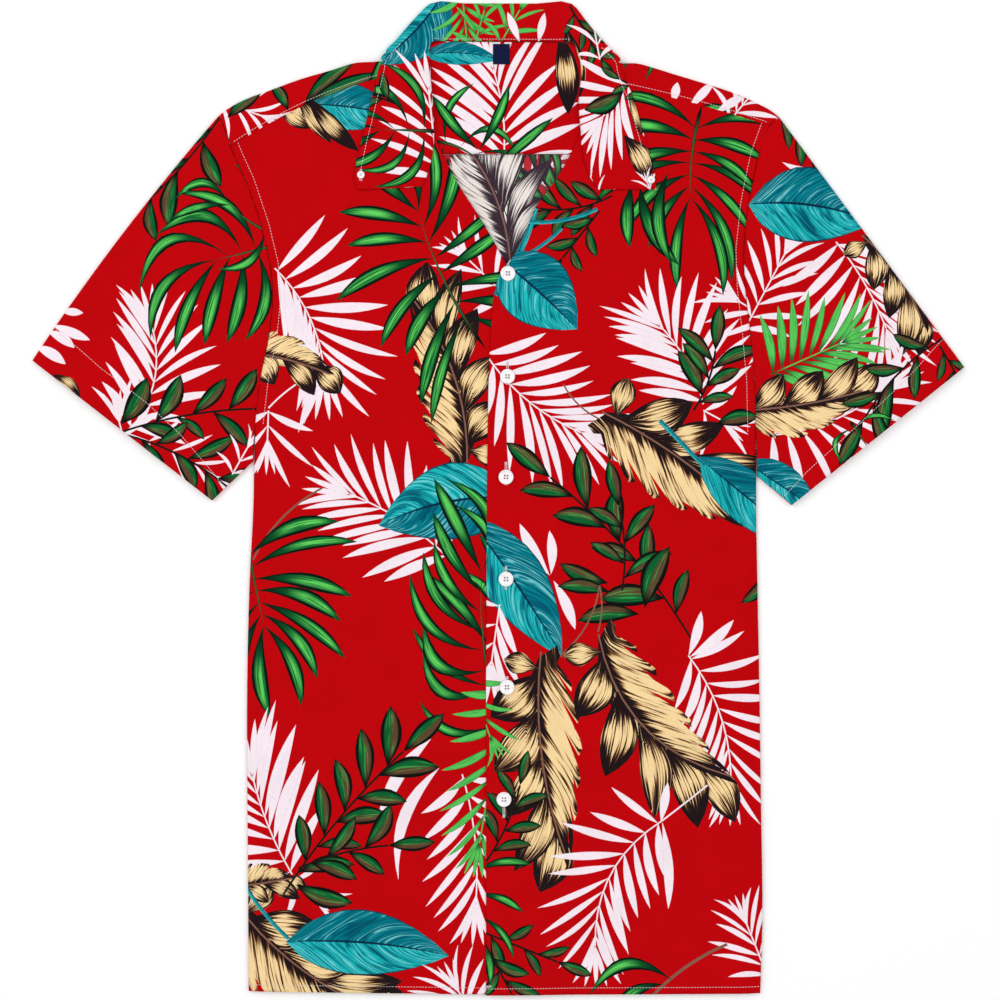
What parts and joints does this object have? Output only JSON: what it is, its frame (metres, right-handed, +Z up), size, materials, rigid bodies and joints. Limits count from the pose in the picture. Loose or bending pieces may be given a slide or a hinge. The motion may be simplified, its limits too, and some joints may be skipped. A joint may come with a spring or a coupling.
{
  "type": "hawaiian shirt",
  "caption": "Short-sleeved cotton shirt with an open camp collar, buttoned front and printed palm leaves, laid flat with its front up.",
  "frame": {"origin": "middle of the shirt's outline in X and Y, on the surface that it lies on", "axes": "+X to the image's right, the wearer's left; +Y from the hem to the collar; +Z up, out of the front"},
  "size_m": [0.7466, 0.7944, 0.0093],
  "materials": {
    "printed_cotton": "matte printed cotton poplin",
    "label_weave": "matte woven tape",
    "button_white": "glossy, faintly pearly"
  },
  "bodies": {
    "root": {"back": "printed_cotton", "yoke": "printed_cotton", "inner_yoke": "printed_cotton", "front_left": "printed_cotton", "front_right": "printed_cotton", "sleeve_left": "printed_cotton", "sleeve_right": "printed_cotton", "collar": "printed_cotton", "label": "label_weave", "button_1": "button_white", "button_2": "button_white", "button_3": "button_white", "button_4": "button_white", "button_5": "button_white", "button_6": "button_white", "tip_button_left": "button_white", "tip_button_right": "button_white"}
  },
  "joints": []
}
